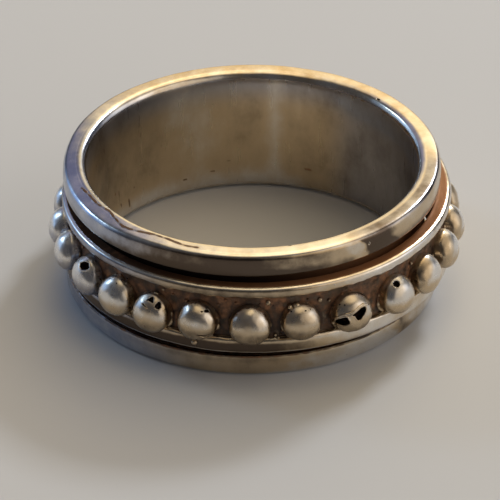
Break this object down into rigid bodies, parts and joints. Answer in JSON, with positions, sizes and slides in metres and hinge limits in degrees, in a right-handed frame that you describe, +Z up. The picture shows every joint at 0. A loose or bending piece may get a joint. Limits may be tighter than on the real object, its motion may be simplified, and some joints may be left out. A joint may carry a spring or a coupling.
{
  "type": "spinner ring",
  "caption": "Wide silver finger ring: a plain inner band with two rims, and a loose outer band with a row of round beads that spins freely between them.",
  "frame": {"origin": "on the surface that the ring lies on, at the axis of the finger bore", "axes": "+Z up along the finger bore, -Y towards the front of the picture, +X to its right"},
  "size_m": [0.0241, 0.0241, 0.0079],
  "materials": {
    "inner_silver": "worn sterling silver, satin inside, polished on the rims, with brown tarnish",
    "spinner_silver": "worn sterling silver, polished on beads and rails, dark brown tarnish between them"
  },
  "bodies": {
    "band": {"inner_band": "inner_silver"},
    "spinner": {"spinner_band": "spinner_silver"}
  },
  "joints": [
    {"name": "spin", "type": "hinge", "parent": "band", "child": "spinner", "pos_m": [0.00025, 0, 0.00392], "axis": [0, 0, 1], "continuous": true}
  ]
}
